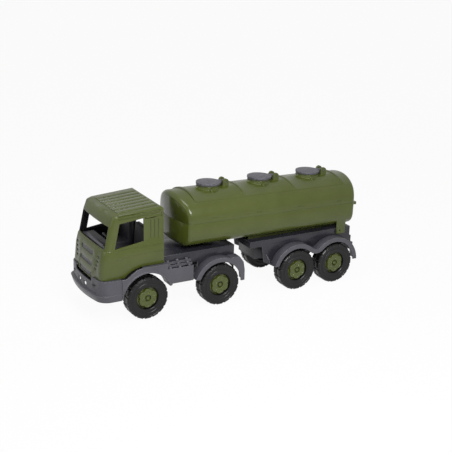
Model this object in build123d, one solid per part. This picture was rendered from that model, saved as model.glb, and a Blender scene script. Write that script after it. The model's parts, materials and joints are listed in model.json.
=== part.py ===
"""Moulded plastic toy tanker lorry: a tractor unit with a semi-trailer that carries a three-hatch tank.

Millimetres. +X is forward, +Y is the lorry's left, +Z is up. The origin is on the floor, under the middle of
the overall length. Every part is made around named sizes, and what seats on, passes through or lines up with
another part takes its place from that part's own sizes.
"""

import math
import os

from build123d import *

# ------------------------------------------------------------------ driving sizes
WALL = 2.4               # moulded wall of the chassis parts
SHELL_WALL = 2.0         # moulded wall of the tank shells
CAB_WALL = 2.4           # moulded wall of the cab shell
SEAT_GAP = 0.3           # gap at rest between parts that only rest by each other
RECESS = 0.9             # depth of the sunk fields in the tank and the bumper
CAB_RECESS = 1.3         # depth of the grooves and louvres in the cab

# wheels and axles
TYRE_RADIUS = 41.5       # to the flat of a tread lug
TYRE_WIDTH = 29.0
TYRE_LUGS = 16
TYRE_LUG_HEIGHT = 1.4
TRACK_OUTER = 81.5       # outer face of a tyre from the centre line
RIM_RADIUS = 22.0        # where the tyre ends and the wheel disc begins
AXLE_RADIUS = 2.0
AXLE_RUNNING_GAP = 0.08
FRONT_AXLE_X = 196.0
DRIVE_AXLE_BACK = 154.5  # front axle to drive axle
BOGIE_BACK = 178.8       # drive axle to first trailer axle
BOGIE_SPREAD = 92.2      # between the two trailer axles

# tractor chassis
DECK_TOP = 112.0
DECK_HALF_WIDTH = 60.0
DECK_REAR_OVERHANG = 40.5   # behind the drive axle
WALL_BOTTOM = 89.6          # lower edge of the deck's side walls
VALANCE_HALF_WIDTH = 78.0
FENDER_HALF_WIDTH = 80.0
FRONT_ARCH_RADIUS = 49.5
DRIVE_ARCH_RADIUS = 46.3
WHEEL_HOUSE_RADIUS = 44.5   # arch in the deck's side wall behind the drive wheel
WHEEL_HOUSE_BOTTOM = 62.0
FASCIA = 9.0                # depth of the mudguards' outer face
RAIL_HALF_SPACING = 29.0
RAIL_WALL = 3.2
RAIL_BOTTOM = 73.0
BEARING_RADIUS = 6.5

# cab
CAB_HALF_WIDTH = 71.0
CAB_REAR_BACK = 37.0        # cab's rear wall behind the front axle
CAB_EDGE_Z = 103.5          # lower edge of the cab side behind the wheel
CAB_FRONT_EDGE_Z = 86.5     # lower edge of the cab ahead of the wheel
CAB_ARCH_RADIUS = 62.6
SILL_Z = 142.0
HEAD_Z = 188.0
ROOF_FRONT_Z = 207.5
ROOF_RISE = 4.2             # degrees, up towards the rear
CAB_FLOOR_TOP = 96.0

# trailer
FRAME_TOP = 110.0
FRAME_HALF_WIDTH = 60.0
FRAME_FRONT_AHEAD = 102.0   # frame's front face ahead of the first trailer axle
FRAME_REAR_BEHIND = 48.0    # frame's rear face behind the second trailer axle
TRAILER_ARCH_RADIUS = 46.0

# tank, as it lies before it is tipped nose-up about its rear lower edge
TANK_TILT = 0.89            # degrees
TANK_FRONT_X = 116.0
TANK_LENGTH = 409.0
TANK_HALF_WIDTH = 66.0
TANK_TOP = 211.5
TANK_BOTTOM = 114.0
TANK_SEAM_Z = 162.3
TANK_CROWN_RADIUS = 100.0
TANK_CROWN_HALF_WIDTH = 46.0
TANK_BILGE_RADIUS = 25.0
TANK_END_RADIUS = 170.0     # bow of both ends, seen from above
TANK_END_ROUND = 10.0       # rounded edge of both ends
PANEL_RISE = 1.7            # raised field along the top
PANEL_HALF_WIDTH = 49.0
PANEL_FRONT_BACK = 33.0     # from the tank's front end
PANEL_LENGTH = 344.0
LUG_Y = 42.0                # rear lugs from the centre line
LUG_REACH = 7.0             # rear lugs beyond the tank's rear end
LUG_HALF_WIDTH = 4.0
LUG_ROOT = 16.0             # rear lugs' root, ahead of the tank's rear end
LUG_HEIGHTS = (150.3, 156.3)

# hatches
HATCH_PITCH = 116.3
HATCH_AHEAD = 3.0           # middle hatch ahead of the tank's middle
HATCH_COUNT = 3
HATCH_RADIUS = 24.4         # lid
HATCH_LID_THICK = 4.0
HATCH_NECK_RADIUS = 21.5
HATCH_NECK_WALL = 2.2
HATCH_NECK_RISE = 7.3       # neck's top above the tank's crown
HATCH_COLLAR_RADIUS = 24.0
HATCH_COLLAR_RISE = 4.4
HATCH_HINGE_BACK = 34.3     # hinge pin behind the lid's centre
HATCH_HINGE_RISE = 9.2
HATCH_EAR_RADIUS = 6.4
HATCH_EAR_INNER, HATCH_EAR_OUTER = 5.6, 10.4   # ear's two faces from the centre line
HATCH_PIN_RADIUS = 1.6
GUSSET_THICK = 3.0
GUSSET_REACH = 34.0         # from the hatch's centre
GUSSET_AHEAD = 6.8          # side gussets ahead of the hatch's centre
HATCH_PIN_GAP = 0.08
LID_PLUG_GAP = 1.6
LID_PLUG_DEPTH = 3.0
LID_EYE_RADIUS = 2.8
LID_SIDE_GAP = 0.6          # lid's tab to the ears

# fifth-wheel coupling
KINGPIN_X = 40.0
KINGPIN_RADIUS = 5.0
KINGPIN_GAP = 0.10
KINGPIN_DISC_RADIUS = 14.0

# ------------------------------------------------------------------ derived places
DRIVE_AXLE_X = FRONT_AXLE_X - DRIVE_AXLE_BACK
BOGIE_FRONT_X = DRIVE_AXLE_X - BOGIE_BACK
BOGIE_REAR_X = BOGIE_FRONT_X - BOGIE_SPREAD
AXLE_Z = TYRE_RADIUS
TYRE_INNER = TRACK_OUTER - TYRE_WIDTH
CAB_REAR_X = FRONT_AXLE_X - CAB_REAR_BACK
DECK_REAR_X = DRIVE_AXLE_X - DECK_REAR_OVERHANG
FRAME_FRONT_X = BOGIE_FRONT_X + FRAME_FRONT_AHEAD
FRAME_REAR_X = BOGIE_REAR_X - FRAME_REAR_BEHIND
TANK_REAR_X = TANK_FRONT_X - TANK_LENGTH
TANK_MID_X = TANK_FRONT_X - TANK_LENGTH / 2
PANEL_FRONT_X = TANK_FRONT_X - PANEL_FRONT_BACK
HATCH_FIRST_X = TANK_MID_X + HATCH_AHEAD + HATCH_PITCH * (HATCH_COUNT - 1) / 2
HATCH_XS = [HATCH_FIRST_X - HATCH_PITCH * i for i in range(HATCH_COUNT)]
HATCH_NECK_TOP = TANK_TOP + HATCH_NECK_RISE
HATCH_COLLAR_TOP = TANK_TOP + HATCH_COLLAR_RISE
HATCH_HINGE_Z = TANK_TOP + HATCH_HINGE_RISE
AXLES = {
    "front": FRONT_AXLE_X,
    "drive": DRIVE_AXLE_X,
    "bogie_front": BOGIE_FRONT_X,
    "bogie_rear": BOGIE_REAR_X,
}
SIDES = {"left": 1, "right": -1}


# ------------------------------------------------------------------ helpers
def block(x0, x1, y0, y1, z0, z1):
    """A box between two corners."""
    return Pos((x0 + x1) / 2, (y0 + y1) / 2, (z0 + z1) / 2) * Box(abs(x1 - x0), abs(y1 - y0), abs(z1 - z0))


def rod_y(x, z, radius, y0, y1):
    """A round bar along Y."""
    return Pos(x, (y0 + y1) / 2, z) * Rot(90, 0, 0) * Cylinder(radius, abs(y1 - y0))


def rod_z(x, y, radius, z0, z1):
    """A round bar along Z."""
    return Pos(x, y, (z0 + z1) / 2) * Cylinder(radius, abs(z1 - z0))


def side_plate(points, y0, y1):
    """A plate cut to an outline of (x, z) points, from y0 to y1."""
    face = make_face(Polyline([(x, 0, z) for x, z in points], close=True))
    solid = extrude(face, amount=y1 - y0, dir=(0, 1, 0))
    return Pos(0, y0, 0) * solid


def cross_plate(points, x0, x1):
    """A plate cut to an outline of (y, z) points, from x0 to x1."""
    face = make_face(Polyline([(0, y, z) for y, z in points], close=True))
    solid = extrude(face, amount=x1 - x0, dir=(1, 0, 0))
    return Pos(x0, 0, 0) * solid


def ring_y(x, z, outer, inner, y0, y1):
    """A ring along Y."""
    return rod_y(x, z, outer, y0, y1) - rod_y(x, z, inner, y0 - 1, y1 + 1)


def between(part, boxes):
    """What of the part lies inside any of the boxes."""
    pieces = [part & box for box in boxes]
    found = pieces[0]
    for piece in pieces[1:]:
        found += piece
    return found


def tipped(part):
    """The part in the tipped tank's place."""
    corner = Pos(TANK_REAR_X, 0, TANK_BOTTOM)
    return corner * Rot(0, -TANK_TILT, 0) * Pos(-TANK_REAR_X, 0, -TANK_BOTTOM) * part


def mirrored(part, side):
    """The part for the left side, or its mirror image for the right."""
    return part if side > 0 else mirror(part, about=Plane.XZ)


def save(name, part):
    """Writes one part to its own STEP file."""
    solids = part.solids()
    shape = solids[0] if len(solids) == 1 else Compound(children=list(solids))
    export_step(shape, f"parts/{name}.step")


# ------------------------------------------------------------------ wheels
SHOULDER_WIDTH = 3.0       # how far in from the side face the tread's shoulder reaches
SHOULDER_DROP = 2.6        # how much smaller the side face is than the tread
LUG_TIP_ANGLE = 7.8        # degrees, half the lug's flat
LUG_FOOT_ANGLE = 9.4       # degrees, half the lug's foot
BORE_SIDES = 32            # flats of the tyre's moulded bore
INNER_WALL = 8.0           # tyre's closed inner side
INNER_HOLE_SIDES = 12      # flats of the axle's hole in it
INNER_HOLE_GAP = 0.1
DISC_FACE_BACK = 2.2       # wheel disc's rosette behind the tyre's outer face
DISC_PLATE_BACK = 8.2      # wheel disc's plate behind the tyre's outer face
DISC_THICK = 3.0
DISC_GAP = 0.02            # pressed fit of disc in tyre and axle in disc
HUB_RADIUS = 6.5
HUB_DEPTH = 17.0
LOBE_COUNT = 6
LOBE_RADIUS = 8.8
LOBE_OUT = 9.8             # lobe's centre from the wheel's centre
DIMPLE_RADIUS = 3.6
DIMPLE_OUT = 12.4
DIMPLE_DEPTH = 0.8
EYE_RADIUS = 6.6
EYE_DEPTH = 5.0
CAP_RADIUS = 3.2
CAP_THICK = 1.1


def tread_outline(tip, foot, y):
    """The lugged outline of a tyre at one station across it, with a lug down on the floor."""
    points = []
    pitch = 360 / TYRE_LUGS
    for i in range(TYRE_LUGS):
        flat = ((-LUG_FOOT_ANGLE, foot), (-LUG_TIP_ANGLE, tip), (LUG_TIP_ANGLE, tip), (LUG_FOOT_ANGLE, foot))
        for angle, radius in flat:
            a = math.radians(-90 + pitch * i + angle)
            points.append((radius * math.cos(a), y, radius * math.sin(a)))
    return make_face(Polyline(points, close=True))


def flat_sided_bore(radius, sides, y0, y1):
    """A bore along Y with flat sides that clear the radius."""
    corner = radius / math.cos(math.pi / sides)
    turns = [2 * math.pi * i / sides for i in range(sides)]
    return side_plate([(corner * math.cos(a), corner * math.sin(a)) for a in turns], y0, y1)


def tyre():
    """A lugged tyre with a closed inner side, its middle at 0 and its outer face towards +Y."""
    half = TYRE_WIDTH / 2
    tip = TYRE_RADIUS / math.cos(math.radians(LUG_TIP_ANGLE))
    foot = tip - TYRE_LUG_HEIGHT
    share = 1 - SHOULDER_DROP / tip
    body = loft([
        tread_outline(tip * share, foot * share, -half),
        tread_outline(tip, foot, -half + SHOULDER_WIDTH),
        tread_outline(tip, foot, half - SHOULDER_WIDTH),
        tread_outline(tip * share, foot * share, half),
    ], ruled=True)
    body -= flat_sided_bore(RIM_RADIUS, BORE_SIDES, INNER_WALL - half, half + 1)
    return body - flat_sided_bore(AXLE_RADIUS + INNER_HOLE_GAP, INNER_HOLE_SIDES, -half - 1, half)


def wheel_disc():
    """A wheel disc with a lobed rosette and a hub tube. Y points outwards, the tyre's middle at 0."""
    half = TYRE_WIDTH / 2
    face_y, plate_y = half - DISC_FACE_BACK, half - DISC_PLATE_BACK
    disc = rod_y(0, 0, RIM_RADIUS - DISC_GAP, plate_y - DISC_THICK, plate_y)
    disc += rod_y(0, 0, HUB_RADIUS, face_y - HUB_DEPTH, plate_y - DISC_THICK)
    turns = [2 * math.pi * (i + 0.5) / LOBE_COUNT for i in range(LOBE_COUNT)]
    for a in turns:
        x, z = LOBE_OUT * math.cos(a), LOBE_OUT * math.sin(a)
        disc += rod_y(x, z, LOBE_RADIUS, plate_y - DISC_THICK / 2, face_y)
    for a in turns:
        x, z = DIMPLE_OUT * math.cos(a), DIMPLE_OUT * math.sin(a)
        disc -= rod_y(x, z, DIMPLE_RADIUS, face_y - DIMPLE_DEPTH, half)
    disc -= rod_y(0, 0, EYE_RADIUS, face_y - EYE_DEPTH, half)
    cap_end = wheel_bore_end() - TRACK_OUTER + half
    disc += rod_y(0, 0, CAP_RADIUS, plate_y - DISC_THICK, cap_end + CAP_THICK)
    return disc - rod_y(0, 0, AXLE_RADIUS + DISC_GAP, -TYRE_WIDTH, cap_end)


def wheel_bore_end():
    """Where the axle's bore ends inside the wheel disc, from the centre line."""
    return TRACK_OUTER - DISC_FACE_BACK - SEAT_GAP - CAP_THICK


def make_axle(name, x):
    """One steel axle with a wheel pressed on each end, as five parts."""
    end = wheel_bore_end() - SEAT_GAP
    save(f"{name}_axle", rod_y(x, AXLE_Z, AXLE_RADIUS, -end, end))
    for side_name, side in SIDES.items():
        place = Pos(x, side * (TRACK_OUTER - TYRE_WIDTH / 2), AXLE_Z)
        save(f"{name}_tyre_{side_name}", place * mirrored(tyre(), side))
        save(f"{name}_wheel_{side_name}", place * mirrored(wheel_disc(), side))


# ------------------------------------------------------------------ tractor chassis
FLOOR_FRONT_AHEAD = 70.0    # cab floor ahead of the front axle
RAIL_FRONT_AHEAD = 86.0
SADDLE_HALF_LENGTH = 9.0
BEARING_END_GAP = 4.5       # bearing boss to the tyre's inner face


def axle_saddle(x, top):
    """A pair of bearing cheeks that hang from the deck, joined round the axle."""
    inner, outer = RAIL_HALF_SPACING, RAIL_HALF_SPACING + RAIL_WALL
    left = block(x - SADDLE_HALF_LENGTH, x + SADDLE_HALF_LENGTH, inner, outer, AXLE_Z, top)
    left += rod_y(x, AXLE_Z, SADDLE_HALF_LENGTH, inner, outer)
    left += rod_y(x, AXLE_Z, BEARING_RADIUS, outer, TYRE_INNER - BEARING_END_GAP)
    return left + mirror(left, about=Plane.XZ)


def axle_hole(x):
    """The running bore for an axle."""
    return rod_y(x, AXLE_Z, AXLE_RADIUS + AXLE_RUNNING_GAP, -TRACK_OUTER, TRACK_OUTER)


def make_tractor_frame():
    """Frame with the open deck, the cab floor, two rails and the axle bearings."""
    half, under_deck = DECK_HALF_WIDTH, DECK_TOP - WALL
    floor_under = CAB_FLOOR_TOP - WALL
    bumper_rear = FRONT_AXLE_X + VALANCE_FRONT_AHEAD
    nose = BUMPER_TOP - WALL - SEAT_GAP
    frame = block(DECK_REAR_X, CAB_REAR_X, -half, half, under_deck, DECK_TOP)
    frame += block(DECK_REAR_X, DECK_REAR_X + WALL, -half, half, WALL_BOTTOM, DECK_TOP)
    frame += block(CAB_REAR_X - WALL, CAB_REAR_X, -half, half, WALL_BOTTOM, DECK_TOP)
    floor_front = FRONT_AXLE_X + FLOOR_FRONT_AHEAD
    frame += block(CAB_REAR_X - WALL, floor_front, -half, half, floor_under, CAB_FLOOR_TOP)
    for side in SIDES.values():
        wall = side * (half - WALL), side * half
        frame += block(DECK_REAR_X, CAB_REAR_X, *wall, WALL_BOTTOM, DECK_TOP)
        house_front = DRIVE_AXLE_X + DECK_REAR_OVERHANG
        house = block(DECK_REAR_X, house_front, *wall, WHEEL_HOUSE_BOTTOM, WALL_BOTTOM + 1)
        frame += house - rod_y(DRIVE_AXLE_X, AXLE_Z, WHEEL_HOUSE_RADIUS, -half - 1, half + 1)
        rail = side * RAIL_HALF_SPACING, side * (RAIL_HALF_SPACING + RAIL_WALL)
        frame += block(DECK_REAR_X, CAB_REAR_X, *rail, RAIL_BOTTOM, DECK_TOP - WALL / 2)
        frame += block(CAB_REAR_X - 1, bumper_rear, *rail, RAIL_BOTTOM, CAB_FLOOR_TOP - WALL / 2)
        frame += block(bumper_rear - 1, FRONT_AXLE_X + RAIL_FRONT_AHEAD, *rail, RAIL_BOTTOM, nose)
    for x, top in ((FRONT_AXLE_X, floor_under), (DRIVE_AXLE_X, under_deck)):
        frame += axle_saddle(x, top)
        frame -= axle_hole(x)
    frame -= rod_z(KINGPIN_X, 0, KINGPIN_RADIUS + KINGPIN_GAP, under_deck - WALL, DECK_TOP + 1)
    save("tractor_frame", frame)


VALANCE_REAR_BACK = 96.5    # valance's rear end behind the front axle
SKIRT_TOP = 92.0
SKIRT_BOTTOM = 61.0
VALANCE_FRONT_AHEAD = 51.0
VALANCE_FOOT = 47.0
TAB_DROP = 3.0              # tab below the skirt, behind the front arch
TAB_BACK = 52.0
LINER_INNER = TYRE_INNER - 1.5
STEP_BACK = 5.0             # stepped ledge's front end behind the cab
STEP_COUNT = 3
STEP_RISE = 4.5
STEP_DEPTH = 5.9
STUD_COLUMNS = 3
STUD_PITCH = 20.0
STUD_BACK = 6.0             # first stud behind the ledge's front end
STUD_RADIUS = 2.4
STUD_HEIGHT = 1.2


def make_valance(side_name, side):
    """Front wheel arch and side skirt in one moulding, with a stepped ledge that carries round studs."""
    x = FRONT_AXLE_X
    rear, step_x = x - VALANCE_REAR_BACK, CAB_REAR_X - STEP_BACK
    edge, front_edge = CAB_EDGE_Z - SEAT_GAP, CAB_FRONT_EDGE_Z - SEAT_GAP
    foot = SKIRT_BOTTOM - TAB_DROP
    inner, outer = DECK_HALF_WIDTH + SEAT_GAP, VALANCE_HALF_WIDTH
    front = x + VALANCE_FRONT_AHEAD
    outline = [
        (front, VALANCE_FOOT), (front, front_edge), (x + 42, front_edge), (x + 21, edge - 2.5),
        (x + 8, edge), (step_x, edge), (step_x, SKIRT_TOP), (rear, SKIRT_TOP), (rear, SKIRT_BOTTOM),
        (x - TAB_BACK, SKIRT_BOTTOM), (x - TAB_BACK, foot), (x - 30, foot), (x - 30, VALANCE_FOOT),
    ]
    wing = side_plate(outline, outer - WALL, outer)
    wing += block(step_x, x + 8, inner, outer - WALL / 2, edge - WALL, edge)
    wing += block(step_x - WALL / 2, step_x + WALL / 2, inner, outer - WALL / 2, SKIRT_TOP - WALL, edge)
    for row in range(STEP_COUNT):
        top = SKIRT_TOP + STEP_RISE * row
        y1 = outer - STEP_DEPTH * row
        y0 = max(inner, y1 - STEP_DEPTH)
        wing += block(rear, step_x, y0, y1, top - WALL, top)
        if row:
            wing += block(rear, step_x, y1 - WALL, y1, top - STEP_RISE - WALL, top)
        for column in range(STUD_COLUMNS):
            stud_x = step_x - STUD_BACK - STUD_PITCH * column
            wing += rod_z(stud_x, (y0 + y1) / 2, STUD_RADIUS, top - WALL / 2, top + STUD_HEIGHT)
    liner = ring_y(x, AXLE_Z, FRONT_ARCH_RADIUS + WALL, FRONT_ARCH_RADIUS, LINER_INNER, outer + 1.2)
    wing += liner - block(x - 80, x + 80, 0, outer + 5, -20, foot)
    wing -= rod_y(x, AXLE_Z, FRONT_ARCH_RADIUS, LINER_INNER - 20, outer + 5)
    wing -= block(x - TAB_BACK - 8, x - 30, 0, outer + 5, 0, foot)
    save(f"valance_{side_name}", mirrored(wing, side))


FLAP_BACK = 54.5            # flap's rear face behind the drive axle
FLAP_TOP = AXLE_Z + 52.1
FLAP_KNEE = AXLE_Z + 39.5
FLAP_FOOT = AXLE_Z + 22.5
FLAP_BOTTOM = AXLE_Z + 0.8
FLAP_REACH = 24.0           # where the flap joins the hoop, behind the axle
HOOP_FOOT = AXLE_Z + 17.5


def make_drive_fender(side_name, side):
    """Mudguard over a drive wheel: a skin with an outer fascia and a hanging rear flap."""
    x, r = DRIVE_AXLE_X, DRIVE_ARCH_RADIUS
    inner, outer = DECK_HALF_WIDTH + SEAT_GAP, FENDER_HALF_WIDTH
    join, rear = x - FLAP_REACH, x - FLAP_BACK
    outline = [(join, FLAP_TOP), (x - 42, FLAP_TOP), (x - 51.5, FLAP_KNEE), (rear, FLAP_FOOT),
               (rear, FLAP_BOTTOM), (join, FLAP_BOTTOM)]
    hollow = [(join, FLAP_TOP - WALL), (x - 40.8, FLAP_TOP - WALL), (x - 49.3, FLAP_KNEE - 1),
              (rear + WALL, FLAP_FOOT - 0.4), (rear + WALL, FLAP_BOTTOM - WALL), (join, FLAP_BOTTOM - WALL)]
    guard = rod_y(x, AXLE_Z, r + FASCIA, inner, outer) - block(x - 80, x + 80, 0, 100, -30, HOOP_FOOT)
    guard += side_plate(outline, inner, outer)
    guard -= rod_y(x, AXLE_Z, r + FASCIA - WALL, inner - 1, outer - WALL)
    guard -= side_plate(hollow, inner - 1, outer - WALL)
    guard -= rod_y(x, AXLE_Z, r, inner - 5, outer + 5)
    guard -= block(x - 50, x + 80, 0, 100, -20, AXLE_Z)
    save(f"drive_fender_{side_name}", mirrored(guard, side))


# ------------------------------------------------------------------ bumper
BUMPER_BOTTOM = 45.0
BUMPER_STEP_Z = 58.0
BUMPER_TOP = CAB_FRONT_EDGE_Z - SEAT_GAP
# side end, corner and nose ahead of the front axle, half width and corner's half width
BUMPER_FOOT = (72.0, 95.5, 101.5, VALANCE_HALF_WIDTH - 0.5, 57.0)
BUMPER_LIP = (75.0, 99.0, 105.0, VALANCE_HALF_WIDTH + 0.5, 60.0)
BUMPER_UPPER = (72.0, 93.5, 99.5, VALANCE_HALF_WIDTH - 1.0, 58.0)
HOOK_SLOT_Y = 13.6
HOOK_SLOT_HALF = (5.6, 3.6)
HOOK_SLOT_Z = 66.4
LAMP_HALF = (9.0, 7.5)      # half width and half height of the sunk headlamp fields
LAMP_Y = 54.0
LAMP_Z = 73.0
APRON_Z = 80.5              # lower edge of the cab's front panel, in a notch of the bumper
APRON_HALF_WIDTH = 38.0
APRON_GAP = 2.6             # dark gap below it
NOTCH_AHEAD = 89.5          # rear edge of the notch, ahead of the front axle


def plan_face(z, rear, shape, inset=0.0):
    """A closed plan outline at height z: straight sides, rounded corners and a bowed nose."""
    side_end, corner, nose, half, corner_half = shape
    x = FRONT_AXLE_X
    a = (x + side_end - inset * 0.5, half - inset)
    b = (x + corner - inset, corner_half - inset * 0.5)
    mid_x, mid_y = (a[0] + b[0]) / 2, (a[1] + b[1]) / 2
    span = math.hypot(b[0] - a[0], b[1] - a[1])
    swell = 0.19
    knee = (mid_x + (a[1] - b[1]) * swell, mid_y + (b[0] - a[0]) * swell) if span else a
    rear = rear + inset
    return make_face([
        Polyline([(a[0], a[1], z), (rear, a[1], z), (rear, -a[1], z), (a[0], -a[1], z)]),
        ThreePointArc((a[0], -a[1], z), (knee[0], -knee[1], z), (b[0], -b[1], z)),
        ThreePointArc((b[0], -b[1], z), (x + nose - inset, 0, z), (b[0], b[1], z)),
        ThreePointArc((b[0], b[1], z), (knee[0], knee[1], z), (a[0], a[1], z)),
    ])


def bumper_solid(inset):
    """The two tiers of the bumper, or their inside when inset by a wall."""
    rear = FRONT_AXLE_X + VALANCE_FRONT_AHEAD + SEAT_GAP - 2 * inset
    low = BUMPER_BOTTOM - (5 if inset else 0)
    lip = plan_face(BUMPER_STEP_Z - inset, rear, BUMPER_LIP, inset)
    tier = loft([plan_face(low, rear, BUMPER_FOOT, inset), lip], ruled=True)
    upper = plan_face(low, rear, BUMPER_UPPER, inset)
    return tier + extrude(upper, amount=BUMPER_TOP - inset - low, dir=(0, 0, 1))


def make_bumper():
    """Two-tier front bumper, open inside, with hook slots, lamp fields and a notch for the front panel."""
    solid = bumper_solid(0)
    x0, x1 = FRONT_AXLE_X + 78, FRONT_AXLE_X + 120
    lamps, slots = [], []
    for side in SIDES.values():
        y, dy, dz = side * LAMP_Y, LAMP_HALF[0], LAMP_HALF[1]
        lamps.append(block(x0, x1, y - dy, y + dy, LAMP_Z - dz, LAMP_Z + dz))
        y, dy, dz = side * HOOK_SLOT_Y, HOOK_SLOT_HALF[0], HOOK_SLOT_HALF[1]
        slots.append(block(x0, x1, y - dy, y + dy, HOOK_SLOT_Z - dz, HOOK_SLOT_Z + dz))
    bumper = solid - bumper_solid(WALL) - between(solid - bumper_solid(RECESS), lamps)
    for slot in slots:
        bumper -= slot
    notch = APRON_HALF_WIDTH + SEAT_GAP
    bumper -= block(FRONT_AXLE_X + NOTCH_AHEAD, x1, -notch, notch, APRON_Z - APRON_GAP, BUMPER_TOP + 1)
    save("front_bumper", bumper)


# ------------------------------------------------------------------ cab
CAB_SHAPES = [
    # height, then side end, corner, nose (ahead of the front axle), half width and corner's half width
    (CAB_FRONT_EDGE_Z, (78.0, 91.0, 94.0, CAB_HALF_WIDTH, 58.0)),
    (125.0, (74.0, 87.0, 89.5, CAB_HALF_WIDTH, 58.0)),
    (SILL_Z, (69.5, 82.5, 85.0, CAB_HALF_WIDTH, 58.0)),
]
UPPER_SHAPES = [
    (SILL_Z, (68.4, 80.9, 83.4, CAB_HALF_WIDTH - 1.4, 58.0)),
    (HEAD_Z, (59.0, 70.5, 73.0, CAB_HALF_WIDTH - 1.8, 58.0)),
]
ROOF_SHAPES = [
    # height at the front axle, shape, rear inset
    (ROOF_FRONT_Z + 1.0, (55.0, 64.0, 67.0, CAB_HALF_WIDTH - 2.0, 59.0), 0.0),
    (ROOF_FRONT_Z + 4.0, (50.0, 59.0, 62.0, CAB_HALF_WIDTH - 5.0, 56.0), 3.0),
]
RIB_COUNT = 7
RIB_PITCH = 16.0
RIB_HALF_WIDTH = 6.6
RIB_HEIGHT = 1.2
RIB_REAR, RIB_FRONT = -31.0, 50.0     # from the front axle
CORNICE_RISE = 2.0                    # degrees, up towards the rear
CORNICE_GROOVES = (
    # middle below the roof's edge, rear end and front end from the front axle
    (0.2, -33.0, 55.0),
    (5.2, -33.0, 55.0),
    (10.8, -33.0, 0.5),
)
CORNICE_GROOVE = 2.4
PANEL_GROOVES = (-27.0, -19.0, -11.0)  # upright grooves behind the side windows, from the front axle
PANEL_GROOVE = 2.0
GRILLE_BARS = (83.5, 104.0, 124.5)
GRILLE_BAR_HEIGHT = 7.4
GRILLE_HALF_WIDTH = 28.0
LOUVRES = (
    # height and distance from the centre line
    (102.0, 44.0),
    (110.0, 46.5),
    (118.0, 49.0),
    (126.0, 51.5),
)
LOUVRE_HALF_WIDTH = 4.6
LOUVRE_HEIGHT = 3.6
WINDSCREEN_FOOT, WINDSCREEN_HEAD = 61.5, 60.5  # half widths
SIDE_WINDOW_REAR, SIDE_WINDOW_FOOT, SIDE_WINDOW_HEAD = 3.8, 61.5, 51.5   # rear edge and front corners
BACK_WINDOW_HALF_WIDTH = 54.0
BACK_WINDOW_BOTTOM, BACK_WINDOW_TOP = 138.5, 197.0


def stacked(faces):
    """A solid through a stack of outlines."""
    solid = loft(faces[:2], ruled=True)
    for low, high in zip(faces[1:], faces[2:]):
        solid += loft([low, high], ruled=True)
    return solid


def cab_solid(inset):
    """The cab's outer form, or its inside when inset by a wall."""
    x = FRONT_AXLE_X
    lower = stacked([plan_face(z, CAB_REAR_X, shape, inset) for z, shape in CAB_SHAPES])
    upper = [plan_face(z, CAB_REAR_X, shape, inset) for z, shape in UPPER_SHAPES]
    for z, shape, back in ROOF_SHAPES:
        flat = Pos(-x, 0, 0) * plan_face(0, CAB_REAR_X + back, shape, inset)
        upper.append(Pos(x, 0, z - inset) * Rot(0, ROOF_RISE, 0) * flat)
    return lower + stacked(upper)


def cab_apron(inset):
    """The front panel's lower end, in the bumper's notch, or its inside when inset by a wall."""
    shape = CAB_SHAPES[0][1]
    low = APRON_Z - (5 if inset else 0)
    outline = plan_face(low, CAB_REAR_X, shape, inset)
    solid = extrude(outline, amount=CAB_FRONT_EDGE_Z - low, dir=(0, 0, 1))
    ahead = FRONT_AXLE_X + CAB_ARCH_RADIUS
    return solid & block(ahead, ahead + 60, -APRON_HALF_WIDTH, APRON_HALF_WIDTH, low, CAB_FRONT_EDGE_Z)


def roof_frame():
    """The roof plane's own frame: X along the roof, origin over the front axle at the roof's edge."""
    return Pos(FRONT_AXLE_X, 0, ROOF_FRONT_Z) * Rot(0, ROOF_RISE, 0)


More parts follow.
